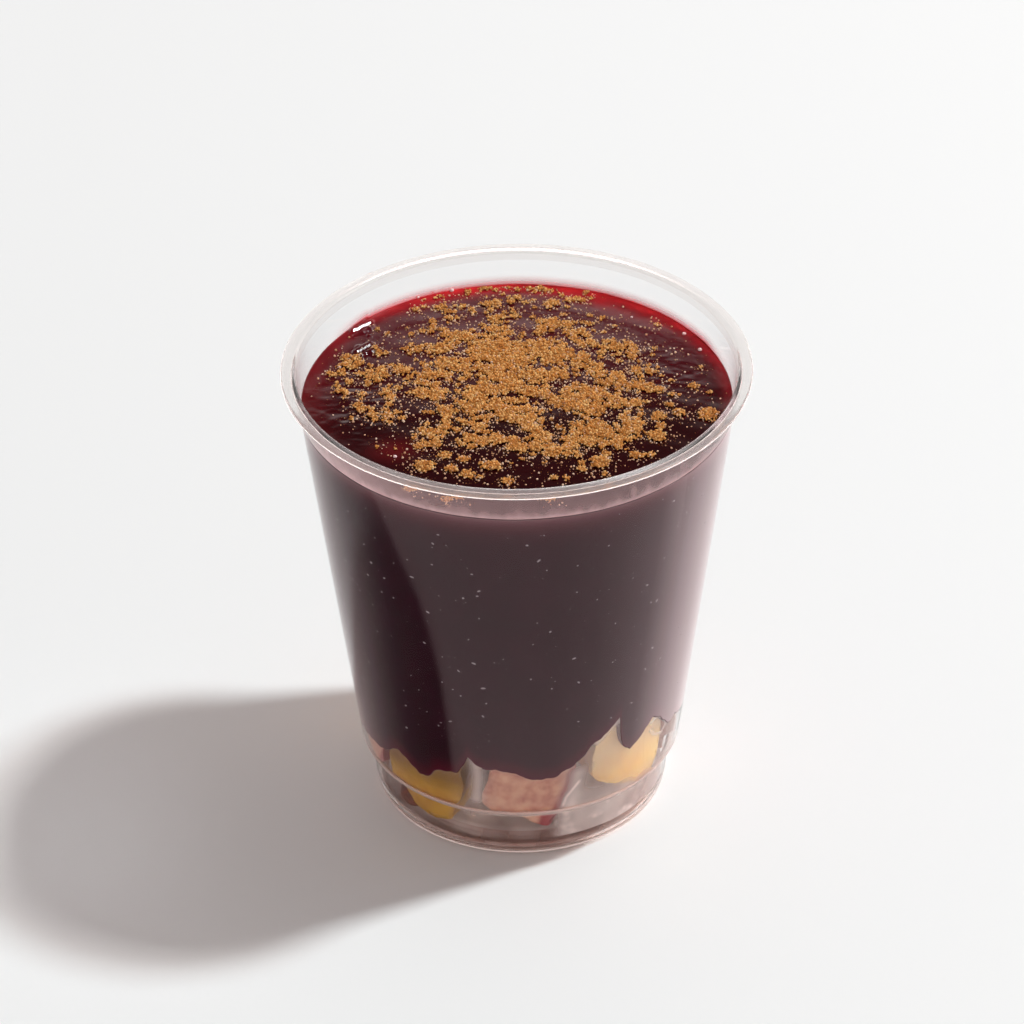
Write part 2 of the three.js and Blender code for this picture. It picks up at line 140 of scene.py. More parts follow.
# Fruit pieces: direction in degrees, distance of the inner end from the axis, and outline as
# (along the wall, height), where the wall is this far from the axis.
OUTLINE_DISTANCE = 31.0
FRUIT = {
    "pineapple_left": dict(at=-36, inner=19, outline=[
        (-10.6, 19), (-9.8, 12.8), (-8, 9.2), (-5.5, 6.4), (-1.6, 5.4), (4.1, 6.6),
        (5.2, 11.6), (7.4, 15), (8.4, 19.4), (7.6, 26), (0, 28.5), (-9.4, 26)]),
    "quince_front": dict(at=2, inner=18, outline=[
        (-8.4, 20), (-9.1, 15), (-5.6, 12.6), (-1.5, 11.2), (1.4, 8.6), (4.6, 7.4),
        (6.6, 11.2), (7.8, 16.3), (9.2, 19.4), (10.2, 24), (8, 28.5), (-6.4, 28.8)]),
    "pineapple_right": dict(at=38, inner=17, outline=[
        (-6.6, 26), (-6.8, 19.4), (2.6, 14.2), (7.5, 12.2), (9.4, 13.3), (10.7, 16.9),
        (12.3, 20.3), (13.1, 22.4), (11.6, 29.6), (5, 31.6), (-3.8, 32.4)]),
    "quince_side": dict(at=96, inner=17, outline=[
        (-8.6, 21), (-9.4, 13), (-7, 6.8), (-1, 5.4), (5.2, 7.4), (7.6, 12), (8.8, 19),
        (7.4, 27), (0, 30), (-6.6, 27.6)]),
    "pineapple_back_right": dict(at=143, inner=18, outline=[
        (-8.8, 24), (-9.8, 14), (-7.4, 7), (-0.6, 5.4), (6.4, 6.6), (8.6, 12.4),
        (9.6, 20), (6.6, 28), (-1, 30.6)]),
    "quince_back": dict(at=-168, inner=16, outline=[
        (-8.4, 18), (-8.8, 12), (-5, 6.2), (1.4, 5.4), (7.6, 8), (9.2, 15.6), (8, 24),
        (2, 28), (-5.6, 26.4)]),
    "pineapple_back_left": dict(at=-122, inner=18, outline=[
        (-9, 20), (-10, 12.6), (-6.2, 6.4), (2, 5.6), (8.2, 7.8), (9.4, 14), (9, 22),
        (4.2, 28.6), (-5, 28.4)]),
    "quince_left": dict(at=-72, inner=22, outline=[
        (-4, 21), (-3.6, 16.5), (-2, 14.4), (3.5, 13.2), (6.6, 14.6), (7, 18),
        (5.4, 23.4), (0, 26), (-3.6, 24.6)]),
}
PRUNE = dict(at=-54.6, distance=27.7, height=5.9, size=(3.4, 2.0, 2.9))

# Camera and light, from the photograph
CAMERA_TARGET = (-1.275, 0.0, 65.84)
CAMERA_DISTANCE = 900.0
CAMERA_ELEVATION = 34.44
CAMERA_ROLL = -0.69
CAMERA_LENS = 154.3
SENSOR = 36.0
KEY_DIRECTION = (72.0, 19.8, 101.0)
KEY_ANGLE = 5.0
KEY_STRENGTH = 2.38
KEY_COLOUR = (0.93, 0.99, 1.0)
SKY_COLOUR = (1.0, 0.9, 0.88)
# The sky's brightness at sines of the elevation
SKY = [(0.0, 1.8), (0.42, 1.56), (0.49, 0.8), (0.525, 0.28), (0.56, 0.06), (1.0, 0.15)]
SKY_BACK = 0.35  # how much brighter the sky is behind the cup than on average


# ---- shapes

def on_ring(radius, degrees, z):
    """Points round the axis, with the direction in degrees from the best side."""
    turn = np.radians(degrees)
    return np.stack(np.broadcast_arrays(radius * np.sin(turn), -radius * np.cos(turn), z), -1)


def around(steps):
    """Directions in degrees, spread evenly round the axis."""
    return np.arange(steps) * 360 / steps


def wrapped(degrees):
    """The same directions, from -180 to 180 degrees."""
    return (np.asarray(degrees) + 180) % 360 - 180


def read(table, at):
    """A table's other columns at places in its first column."""
    places, *columns = np.array(table, float).T
    return [np.interp(at, places, column) for column in columns]


def oval(x, y, middle, size):
    """Squared distance from a middle, 1 at an oval's edge."""
    return ((x - middle[0]) / size[0]) ** 2 + ((y - middle[1]) / size[1]) ** 2


def linear(colour):
    """A colour as 0xRRGGBB, made linear for Blender."""
    parts = [((colour >> shift) & 255) / 255 for shift in (16, 8, 0)]
    return [p / 12.92 if p <= 0.04045 else ((p + 0.055) / 1.055) ** 2.4 for p in parts] + [1.0]


class Noise:
    """Smooth random values on a plane, the same on every run."""

    def __init__(self, seed):
        self.table = np.random.default_rng(seed).uniform(-1, 1, (128, 128))

    def __call__(self, x, y):
        i, j = np.floor(x).astype(int), np.floor(y).astype(int)
        u, v = x - i, y - j
        u, v = u * u * (3 - 2 * u), v * v * (3 - 2 * v)
        i, j, n = i % 128, j % 128, self.table
        near = n[i, j] * (1 - u) + n[(i + 1) % 128, j] * u
        far = n[i, (j + 1) % 128] * (1 - u) + n[(i + 1) % 128, (j + 1) % 128] * u
        return near * (1 - v) + far * v

    def layered(self, x, y, layers=3):
        return sum(self(x * 2**k + 9 * k, y * 2**k + 5 * k) / 2**k for k in range(layers))


def inner_radius(z):
    """Distance from the axis to the inside of the cup's wall."""
    slope = (CONE_TOP[0] - CONE_BASE[0]) / (CONE_TOP[1] - CONE_BASE[1])
    cone = CONE_BASE[0] - WALL + slope * (z - CONE_BASE[1])
    foot = HEEL_RADIUS - WALL + (CREASE_RADIUS - HEEL_RADIUS) * np.clip(
        (z - HEEL_TOP) / (CREASE_HEIGHT - HEEL_TOP), 0, 1)
    return foot + (cone - foot) * np.clip(
        (z - CREASE_HEIGHT) / (CONE_BASE[1] - CREASE_HEIGHT), 0, 1)


def scene_object(name, data):
    made = bpy.data.objects.new(name, data)
    bpy.context.scene.collection.objects.link(made)
    return made


def mesh_object(name, points, faces, materials, replaces=(), values=None):
    """A smooth mesh that rides on the part, from points in millimetres."""
    mesh = bpy.data.meshes.new(name)
    mesh.from_pydata(np.asarray(points, float) * MM, [], [f for one in faces for f in one.tolist()])
    mesh.shade_smooth()
    mesh.validate()
    for key, numbers in (values or {}).items():
        mesh.attributes.new(key, "FLOAT", "POINT").data.foreach_set("value", numbers)
    for material in materials:
        mesh.materials.append(material)
    made = scene_object(name, mesh)
    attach(made, "root")
    if replaces:
        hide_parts(*replaces)
    return made


def copies_object(name, copies, faces, material, values=None):
    """One mesh of many copies of a shape, from each copy's corners."""
    first = np.arange(len(copies))[:, None, None] * copies.shape[1]
    return mesh_object(name, copies.reshape(-1, 3), [(faces + first).reshape(-1, 3)],
                       [material], values=values)


def ring_faces(rings, steps, first=0, shut=False):
    """Faces between rings of points; shut also joins the last ring to the first."""
    row = np.arange(rings if shut else rings - 1)[:, None] * steps
    below = (row + steps) % (rings * steps)
    i = np.arange(steps)
    j = (i + 1) % steps
    return first + np.stack([row + i, row + j, below + j, below + i], -1).reshape(-1, 4)


def capped(rings, ends, flip=False):
    """Points and faces of rings, shut by a fan at each end."""
    steps = len(rings[0])
    i = np.arange(steps)
    j = (i + 1) % steps
    fans = []
    for centre, first in enumerate((2, 2 + (len(rings) - 1) * steps)):
        a, b = (i, j) if flip ^ centre else (j, i)
        fans.append(np.stack([np.full(steps, centre), first + a, first + b], -1))
    sides = ring_faces(len(rings), steps, 2)
    return np.concatenate([ends, *rings]), [sides[:, ::-1] if flip else sides, *fans]


def curve(start, corner, end, t):
    return (1 - t) ** 2 * start + 2 * t * (1 - t) * corner + t**2 * end


def filleted(profile, reach, steps=5):
    """A profile with its corners rounded off."""
    points = np.array(profile, float)
    made = []
    for before, corner, after in zip(points, points[1:], points[2:]):
        a, b = before - corner, after - corner
        start = corner + a * min(0.45, reach / np.linalg.norm(a))
        end = corner + b * min(0.45, reach / np.linalg.norm(b))
        made.append(curve(start, corner, end, np.linspace(0, 1, steps)[:, None]))
    return np.concatenate([points[:1], *made, points[-1:]])


# ---- materials

class Shade:
    """A material or a world made of nodes."""

    def __init__(self, name, made=None, coords="Object"):
        self.made = made or bpy.data.materials.new(name)
        self.made.use_nodes = True
        self.tree = self.made.node_tree
        self.tree.nodes.clear()
        self.coords = self.add("TexCoord").outputs[coords]

    def add(self, kind, inputs=None, **settings):
        node = self.tree.nodes.new("ShaderNode" + kind)
        for key, value in settings.items():
            setattr(node, key, value)
        for key, value in (inputs or {}).items():
            if isinstance(value, bpy.types.NodeSocket):
                self.tree.links.new(value, node.inputs[key])
            else:
                node.inputs[key].default_value = value
        return node

    def noise(self, size, detail, stretch=(1, 1, 1), distortion=0.0):
        """Noise with lumps of a size in millimetres, stretched along the axes."""
        scale = [1 / (size * MM * s) for s in stretch]
        place = self.add("Mapping", {"Vector": self.coords, "Scale": scale}).outputs[0]
        return self.add("TexNoise", {
            "Vector": place, "Scale": 1.0, "Detail": detail, "Roughness": 0.55,
            "Distortion": distortion}).outputs["Fac"]

    def ramp(self, value, *stops):
        """Colours or greys at places from 0 to 1."""
        node = self.add("ValToRGB", {"Fac": value})
        points = node.color_ramp.elements
        while len(points) < len(stops):
            points.new(0.5)
        for point, (place, colour) in zip(points, stops):
            point.position = place
            if isinstance(colour, float):
                colour = [colour] * 3 + [1.0]
            point.color = linear(colour) if isinstance(colour, int) else colour
        return node.outputs[0]

    def mix(self, amount, a, b, blend="MIX"):
        a, b = (linear(c) if isinstance(c, int) else c for c in (a, b))
        return self.add("Mix", {0: amount, 6: a, 7: b},
                        data_type="RGBA", blend_type=blend).outputs[2]

    def maths(self, what, a, b, c=0.0):
        return self.add("Math", {0: a, 1: b, 2: c}, operation=what).outputs[0]

    def along(self, axis, low, high):
        """From 0 to 1 between two places on an axis, in millimetres."""
        place = self.add("SeparateXYZ", {0: self.coords}).outputs[axis]
        return self.add("MapRange", {0: place, 1: low * MM, 2: high * MM}).outputs[0]

    def value(self, name):
        """Numbers that the mesh has at its points."""
        return self.add("Attribute", attribute_name=name).outputs["Fac"]

    def bump(self, height, distance, strength):
        return self.add("Bump", {
            "Height": height, "Distance": distance * MM, "Strength": strength}).outputs[0]

    def surface(self, **inputs):
        return self.add("BsdfPrincipled", {
            key.replace("_", " ").title().replace("Ior", "IOR"): value
            for key, value in inputs.items()}).outputs[0]

    def finish(self, shader, output="OutputMaterial"):
        self.add(output, {"Surface": shader})
        return self.made

    def done(self, **inputs):
        return self.finish(self.surface(**inputs))


def clear_plastic(name, roughness, clearness, shadow, tint=0xFAFAFA):
    """Plastic that is clear up to a share, and for the rest milky."""
    shade = Shade(name)
    clear = shade.surface(base_color=linear(tint), roughness=roughness, ior=PLASTIC_IOR,
                          transmission_weight=clearness)
    passing = shade.add("BsdfTransparent", {"Color": linear(shadow)}).outputs[0]
    rays = shade.add("LightPath").outputs["Is Shadow Ray"]
    return shade.finish(shade.add("MixShader", {0: rays, 1: clear, 2: passing}).outputs[0])


def pudding_top_material():
    """The glossy top: dark, and red where light gets through."""
    shade = Shade("pudding_top")
    near = shade.mix(shade.noise(6, 3), 0x300408, 0x220204)
    # Painted sheen: the top's colour is lighter towards the back.
    dark = shade.mix(shade.along("Y", -10, 25), near, 0x4E0812)
    red = shade.mix(shade.noise(3, 2), 0xDE3236, 0xC02228)
    return shade.done(
        base_color=shade.mix(shade.value("red"), dark, red), roughness=0.11, ior=1.31,
        normal=shade.bump(shade.noise(0.9, 3, stretch=(2.5, 1, 1)), 0.02, 0.06))


def pudding_side_material():
    """The pudding as the wall shows it: dull, with a painted pale sheen where seen aslant and a
    painted veil for the wall's reflection of the lit floor.
    """
    shade = Shade("pudding_side")
    own = shade.mix(shade.ramp(shade.noise(7, 3), (0.35, 0.0), (0.7, 1.0)), 0x2A0615, 0x240511)
    # Painted light: redder where the mesh says light gets through the thin gel.
    own = shade.mix(shade.value("red"), own, 0x8A1C34)
    # Painted sheen and reflection: paler where the wall is seen aslant, and by the painted veil
    # that the mesh carries.
    facing = shade.add("LayerWeight", {"Blend": 0.5}).outputs["Facing"]
    aslant = shade.ramp(facing, (0.296, 0.0), (0.351, 0.12), (0.41, 0.3), (0.445, 0.56))
    haze = shade.maths("MULTIPLY_ADD", aslant, shade.value("wall"), shade.value("painted_sheen"))
    return shade.done(
        base_color=shade.mix(haze, own, 0xE6CED0), roughness=0.6, specular_ior_level=0.0)


def cinnamon_material(name, share, dark, mean, light):
    """Powder with grains from dark to light, a share of them below the mean."""
    shade = Shade(name)
    grain = shade.ramp(shade.value("tone"), (0.0, dark), (share, mean), (1.0, light))
    patches = shade.mix(shade.noise(4, 2), 0xFFFFFF, 0xE6D6C6)
    return shade.done(base_color=shade.mix(1.0, grain, patches, "MULTIPLY"), roughness=0.9,
                      specular_ior_level=0.15)


def film_material(name, colour, deep, roughness=0.35):
    """A thin film, as strong and as red as its mesh says."""
    shade = Shade(name)
    film = shade.surface(base_color=shade.mix(shade.value("red"), colour, deep),
                         roughness=roughness, specular_ior_level=0.2)
    clear = shade.add("BsdfTransparent").outputs[0]
    return shade.finish(
        shade.add("MixShader", {0: shade.value("cover"), 1: clear, 2: film}).outputs[0])


def moist_flesh(shade, colour, spread, depth, normal):
    """Fruit that light gets into, by a depth in millimetres."""
    return shade.done(
        base_color=colour, roughness=0.35, ior=1.4, subsurface_weight=0.3,
        subsurface_radius=spread, subsurface_scale=depth * MM, normal=normal)


def pineapple_material(name, pale, deep, shadow, top, top_from, top_to):
    """Flesh with fibres, which changes colour towards its top."""
    shade = Shade(name)
    fibres = shade.noise(1.2, 4, stretch=(1, 1, 5), distortion=0.6)
    colour = shade.mix(shade.ramp(shade.noise(6, 3), (0.35, 0.0), (0.65, 1.0)), pale, deep)
    colour = shade.mix(shade.ramp(fibres, (0.5, 0.0), (0.8, 0.45)), colour, shadow)
    higher = shade.maths("MULTIPLY", shade.along("Z", top_from, top_to), 0.65)
    return moist_flesh(shade, shade.mix(higher, colour, top), (1.0, 0.6, 0.2), 2,
                       shade.bump(fibres, 0.2, 0.6))


def quince_material(name):
    """Mottled flesh, with red skin where the mesh says so."""
    shade = Shade(name)
    mottle = shade.ramp(shade.noise(2.6, 4), (0.3, 0xB67464), (0.5, 0xCC947C), (0.7, 0xD8A68A))
    skin = shade.mix(shade.noise(1.5, 3), 0xB0383A, 0x741A1C)
    return moist_flesh(shade, shade.mix(shade.value("skin"), mottle, skin), (1.0, 0.4, 0.3), 1.5,
                       shade.bump(shade.noise(0.8, 4), 0.1, 0.5))


def prune_material(name):
    shade = Shade(name)
    colour = shade.ramp(shade.noise(1.6, 4), (0.35, 0x4A1604), (0.65, 0x7C3206))
    return shade.done(
        base_color=colour, roughness=0.5, specular_ior_level=0.1,
        normal=shade.bump(shade.noise(1.0, 4, stretch=(1, 1, 2)), 0.3, 0.8))


# ---- cup

# The cup's material slots, and how many of its profile's last faces, the floor's, stay clear
CLEAR, RIM, MILKY = 0, 1, 2
FLOOR_FACES = 6


def cup_profile():
    """The cup's outline, from its underside over the rim and back to its floor."""
    inner, foot, heel, crease = FOOT_INNER_RADIUS, FOOT_RADIUS, HEEL_RADIUS, CREASE_RADIUS
    (base, base_z), (top, top_z), mouth, rim = CONE_BASE, CONE_TOP, MOUTH_RADIUS, RIM_RADIUS
    height, under = CUP_HEIGHT, CUP_HEIGHT - RIM_THICKNESS
    return filleted([
        (0, FLOOR_RISE + 0.6), (inner - 6, FLOOR_RISE), (inner - 0.9, FLOOR_RISE - 0.4),
        (inner - 0.2, 0.5), (inner + 0.2, 0), (foot, 0), (foot + 1.5, 0.7), (heel - 0.2, 2.3),
        (heel, 4.2), (crease, CREASE_HEIGHT), (base - 0.5, base_z - 0.9), CONE_BASE, CONE_TOP,
        (mouth + 0.9, under), (rim - 0.6, under - RIM_DROOP),
        (rim, height - RIM_THICKNESS / 2 - RIM_DROOP), (rim - 0.5, height - RIM_DROOP),
        (mouth + 0.8, height), (mouth + 0.1, height - 0.3), (top - WALL, top_z),
        (base - WALL, base_z), (base - 0.5 - WALL, base_z - 0.6),
        (crease - WALL, CREASE_HEIGHT + 0.2), (heel - WALL, 4.4), (heel - 0.4 - WALL, 2.6),
        (foot + 1.1 - WALL, 1.1), (foot - 0.3, 0.6), (inner + 0.5, 0.6),
        (inner - 0.3, FLOOR_RISE), (inner - 6, FLOOR_RISE + WALL), (0, FLOOR_TOP)], 0.5)


def make_cup():
    profile = cup_profile()
    rings = [on_ring(r, around(CUP_STEPS), z) for r, z in profile[1:-1]]
    points, faces = capped(rings, [[0, 0, profile[0][1]], [0, 0, profile[-1][1]]])
    plastic = [clear_plastic("clear_plastic", 0.0, 1.0, 0xEAE6E5),
               clear_plastic("rim_plastic", 0.22, 0.93, 0xD8D2D0, 0xEEEBE9),
               clear_plastic("fold_plastic", 0.15, 0.74, 0xDCD0CC, 0xFAE4DC)]
    made = mesh_object("cup_shell", points, faces, plastic, ["cup"])
    heights = (profile[1:-2, 1] + profile[2:-1, 1]) / 2
    rim_from = CUP_HEIGHT - RIM_THICKNESS - RIM_DROOP - 0.5
    kinds = np.where(heights > rim_from, RIM, CLEAR)
    for low, high in MILKY_FOLDS:
        kinds[(heights > low) & (heights < high)] = MILKY
    kinds[-FLOOR_FACES:] = CLEAR
    slots = np.concatenate([np.repeat(kinds, CUP_STEPS), np.full(2 * CUP_STEPS, CLEAR)])
    made.data.polygons.foreach_set("material_index", slots.astype(np.int32))


# ---- pudding

# Ridges in the top: middle, half size, the way their lit flanks fall, and how steeply.
FOLDS = [((-31.9, 28.0), (2.6, 4.4), (0.650, -0.760), 0.635),
         ((-31.0, 18.4), (2.6, 3.0), (0.672, -0.740), 0.716)]
FOLD_PERIOD = 2.2
FOLD_SHARE = 0.55  # the lit flank's share of a ridge
# Where the top is rippled: middle, half size, and how much more than elsewhere.
RIPPLED = [((-32.5, -3.0), (7.0, 12.0), 3.6), ((31.0, 10.0), (9.0, 13.0), 2.4),
           ((8.0, 14.0), (9.0, 9.0), 1.4)]
RIPPLED_ELSEWHERE = 0.25
RIPPLE_HEIGHT = 0.016

WAVES = Noise(11)
RIPPLES = Noise(12)
CRUMBS = Noise(13)


def fold(x, y, at, size, fall, slope):
    """Where small steep ridges are, and their height: near flanks mirror the key light."""
    ragged = 0.6 * CRUMBS(x / 1.6, y / 1.6 + 9)
    near = np.clip(3 * (1.0 - oval(x, y, at, size) + ragged), 0, 1)
    drift = 0.12 * WAVES(x / 7, y / 7)
    part = ((fall[0] * x + fall[1] * y) / FOLD_PERIOD + drift) % 1
    ridge = np.where(part < FOLD_SHARE, 1 - part / FOLD_SHARE,
                     (part - FOLD_SHARE) / (1 - FOLD_SHARE))
    return near, near * ridge * slope * FOLD_SHARE * FOLD_PERIOD


def top_height(x, y):
    """Height of the glossy top: domed, climbing at the wall, with waves and ripples."""
    radius = np.hypot(x, y)
    wall = inner_radius(FILL_HEIGHT)
    climb = MENISCUS * np.exp((radius - wall) / MENISCUS_REACH)
    dome = DOME * (1 - (radius / wall) ** 2)
    waves = 0.012 * np.sin(0.31 * x + 0.74 * y) + 0.012 * np.sin(0.52 * x - 0.38 * y + 1.3)
    slow = 0.03 * WAVES.layered(x / 9, y / 5, 2)
    rippled = RIPPLED_ELSEWHERE + sum(
        share * np.exp(-oval(x, y, at, size)) for at, size, share in RIPPLED)
    ripples = RIPPLE_HEIGHT * rippled * RIPPLES.layered(x / 2.3, y / 1.3, 3)
    covered, folds = (sum(part) for part in zip(*(fold(x, y, *place) for place in FOLDS)))
    return FILL_HEIGHT + climb + dome + (1 - covered) * (waves + slow + ripples) + folds


def lower_edge(degrees):
    """Height of the ragged lower edge on the wall."""
    turn = wrapped(degrees)
    ragged = 0.35 * CRUMBS.layered(turn / 2.1, np.zeros_like(turn), 3)
    return read(LOWER_EDGE, turn)[0] + ragged


# Painted sheen and veil on the wall, for its reflection of the lit floor and the key light on the
# right: degrees from the best side, how much of the slanting sheen, and how strong the veil.
PAINTED_WALL_SHEEN = [(-180, 0.8, 0.03), (-100, 0.7, 0.0), (-60, 0.6, 0.0), (-40, 0.3, 0.0),
             (-10, 0.9, 0.062), (10, 1, 0.064), (22, 1, 0.078), (30, 1, 0.1), (39, 1, 0.13),
             (48, 1, 0.17), (54, 1, 0.2), (66, 1, 0.2), (90, 1, 0.17), (120, 0.9, 0.08),
             (150, 0.8, 0.04), (180, 0.8, 0.03)]
PAINTED_FILL_LINE_HIGHLIGHT = 0.14  # painted highlight on the wall at the fill line
LEAST_PAINTED_VEIL = 0.062
# Where the painted veil starts on the left, at the reflected edge of the floor's shadow: heights,
# and degrees from the best side.
PAINTED_VEIL_FROM = [(20, -23.7), (38, -24.3), (48.5, -25), (59, -26.7), (69, -29.3), (78, -33.8),
              (94, -41)]


def painted_wall_sheen(degrees, z):
    """How much of the painted slanting sheen shows on the wall, and how strong the painted veil is.
    """
    turn = wrapped(degrees)
    slanting, painted_veil = read(PAINTED_WALL_SHEEN, turn)
    begun = np.clip((turn - read(PAINTED_VEIL_FROM, z)[0]) / 2.4 + 0.5, 0, 1) + (turn < -100)
    right = np.where(turn > 50, np.interp(z, [70, 90], [1, 0.75]), 1)
    lower = np.interp(z, [25, 60], [1.3, 1]) * right
    return slanting, np.maximum(LEAST_PAINTED_VEIL, painted_veil) * begun * lower


def make_pudding():
    """The gel: a wavy top, sides on the wall, and an underside over the fruit."""
    degrees = around(PUDDING_STEPS)
    rings, looks = [], []

    def add_ring(radius, z, red, painted_sheen=0.0, slanting=0.0):
        rings.append(on_ring(radius, degrees, z))
        looks.append([look + 0 * degrees for look in (red, painted_sheen, slanting)])

    wall = inner_radius(FILL_HEIGHT + MENISCUS) + INTO_WALL
    for radius in wall * np.linspace(0, 1, PUDDING_RINGS + 1)[1:] ** 0.8:
        flat = on_ring(radius, degrees, 0.0)
        add_ring(radius, top_height(flat[:, 0], flat[:, 1]), red_amount(flat[:, 0], flat[:, 1]))
    top, edge = rings[-1][:, 2], lower_edge(degrees)
    slanting, painted_veil = painted_wall_sheen(degrees, top)
    looks[-1][1:] = painted_veil + PAINTED_FILL_LINE_HIGHLIGHT, slanting
    for share in [*np.linspace(0, 1, WALL_RINGS)[1:-1] ** 1.6, 0.997, 1.0]:
        z = top + (edge - top) * share
        # Painted light: redder under the fill line and above the lower edge, as light through the
        # thin gel.
        red = np.exp(-(top - z) / 2.5) * 0.4 + np.exp(-(z - edge) / 1.6) * 0.25
        slanting, painted_veil = painted_wall_sheen(degrees, z)
        # The painted veil, plus a painted highlight that fades down from the fill line.
        painted_sheen = painted_veil + PAINTED_FILL_LINE_HIGHLIGHT * np.exp(-(top - z) / 1.3)
        add_ring(inner_radius(z) + INTO_WALL, z, red, painted_sheen * (share < 1), slanting * (share < 1))
    floor, side, turn = FLOOR_TOP + 0.1, inner_radius(edge), np.radians(degrees)
    for radius, z in [
            (side - 0.25, edge - 0.25), (side - 0.9, edge - 0.1), (side - 2.2, edge + 0.5),
            (26, UNDERSIDE + 2 + 1.5 * np.sin(5 * turn)),
            (17, UNDERSIDE + 1.2 * np.sin(4 * turn)),
            (CORE_RADIUS + 3, 14 + 1.5 * np.sin(3 * turn)), (CORE_RADIUS, floor)]:
        add_ring(radius, z, 0.3)
    points, faces = capped(rings, [[0, 0, float(top_height(0.0, 0.0))], [0, 0, floor]], True)
    red, painted_sheen, slanting = np.array(looks).transpose(1, 0, 2).reshape(3, -1)
    made = mesh_object(
        "pudding_body", points, faces,
        [pudding_top_material(), pudding_side_material()],
        ["pudding"], {
            "red": np.concatenate([[0, 0.3], red]), "painted_sheen": np.concatenate([[0, 0], painted_sheen]),
            "wall": np.concatenate([[0, 0], slanting])})
    side = np.zeros(len(made.data.polygons), np.int32)
    side[(PUDDING_RINGS - 1) * PUDDING_STEPS:(len(rings) - 1) * PUDDING_STEPS] = 1
    made.data.polygons.foreach_set("material_index", side)


# Painted glow round the wall, where light gets through the gel's thin edge: degrees from the best
# side, how red, and how far in from the wall.
PAINTED_GLOW_RING = [
    (-180, 0.9, 2.9), (-160, 0.9, 3.2), (-145, 0.65, 2.7), (-130, 0.26, 2.3), (-115, 0.15, 3),
    (-95, 0.12, 5), (-75, 0.07, 5), (-40, 0.03, 2.5), (40, 0.02, 2), (75, 0.07, 2.2),
    (95, 0.15, 2.2), (112, 0.28, 2.4), (128, 0.45, 3), (145, 0.65, 4.2), (160, 0.8, 4),
    (180, 0.9, 2.9),
]
# Painted light: the spot glows red as light through the gel.
PAINTED_GLOW_SPOT = ((-24.5, -19), (4.5, 3.6))  # a red spot at the left: its middle and half size


def red_amount(x, y):
    """How far light gets through the gel, as at the thin climb on the wall."""
    radius = np.hypot(x, y)
    turn = np.degrees(np.arctan2(x, -y))
    strong, reach = read(PAINTED_GLOW_RING, turn)
    rim = np.exp(-(((inner_radius(FILL_HEIGHT) - radius) / reach) ** 2)) * strong
    uneven = 1 + 0.3 * CRUMBS.layered(turn / 7, radius / 4)
    return np.clip(rim * uneven + 0.13 * np.exp(-oval(x, y, *PAINTED_GLOW_SPOT)), 0, 1)


# ---- cinnamon

def cover(x, y, spread=1.0):
    """How much the drifts cover, from 0 to 1; spread widens them."""
    x, y = (x + 1.2 * WAVES(x / 3.4, y / 3.4) + 0.5 * CRUMBS(x / 1.3, y / 1.3 + 30),
            y + 1.0 * WAVES(x / 3.1 + 60, y / 3.1) + 0.45 * CRUMBS(x / 1.2 + 70, y / 1.2))
    bare = np.ones_like(x)
    for cx, cy, length, width, turn, strength in DRIFTS:
        c, s = math.cos(math.radians(turn)), math.sin(math.radians(turn))
        u, v = (c * (x - cx) + s * (y - cy)) / length, (c * (y - cy) - s * (x - cx)) / width
        bare *= 1 - strength * np.clip(1.35 - (u * u + v * v) / spread**2, 0, 1)
    return 1 - bare


def puff_chance(x, y):
    haze = 0.2 * np.clip(1.3 - oval(x, y, (0, 6), (34, 36)), 0, 1)
    return np.clip(1.7 * cover(x, y, 1.15) + haze, 0, 1)


def puffs():
    """Puffs of powder as (x, y, radius, height), larger in the drifts."""
    x, y, random = spread_out(1.75, puff_chance, 25)
    radius = 0.45 + 0.45 * random.random(len(x)) + 0.85 * cover(x, y)
    made = list(zip(x, y, radius, 0.5 * radius))
    for cx, cy, wide, height in CLUMPS:
        made.append((cx, cy, 0.72 * wide, height))
        lobes = 5 + int(wide)
        for k in range(lobes):
            turn = 2 * math.pi * (k + 0.5 * random.random()) / lobes
            far = wide * random.uniform(0.5, 0.68)
            made.append((cx + far * math.cos(turn), cy + far * math.sin(turn),
                         wide * random.uniform(0.34, 0.46), 0.62 * height))
    return made


FIELD_STEP = 0.25
FIELD_REACH = 44
FIELD_SIDE = int(2 * FIELD_REACH / FIELD_STEP)


def field_grid():
    line = np.arange(-FIELD_REACH, FIELD_REACH, FIELD_STEP)
    return np.meshgrid(line, line, indexing="ij")


def powder_field():
    """How deep inside a puff each place lies, and how high the powder is there."""
    x, y = field_grid()
    inside, height = np.full(x.shape, -9.0), np.zeros(x.shape)
    for px, py, radius, tall in puffs():
        far = np.hypot(x - px, y - py) / radius
        inside = np.maximum(inside, 1 - far)
        height = np.maximum(height, tall * np.sqrt(np.clip(1 - far * far, 0, 1)))
    return inside, height


def field_at(field, x, y):
    i, j = (np.clip(((v + FIELD_REACH) / FIELD_STEP + 0.5).astype(int), 0, FIELD_SIDE - 1)
            for v in (x, y))
    return field[i, j]


def dense(x, y):
    """Chance of powder in the puffs, broken up by small pits."""
    pits = 0.5 * CRUMBS(x / 1.5 + 12, y / 1.5) + 0.45 * RIPPLES(x / 0.8, y / 0.8 + 33)
    middle = 0.25 * np.clip(1.2 - oval(x, y, (2, 3), (22, 24)), 0, 1)
    return np.clip(2.6 * field_at(INSIDE, x, y) + 0.32 + middle + 0.65 * pits, 0, 1)


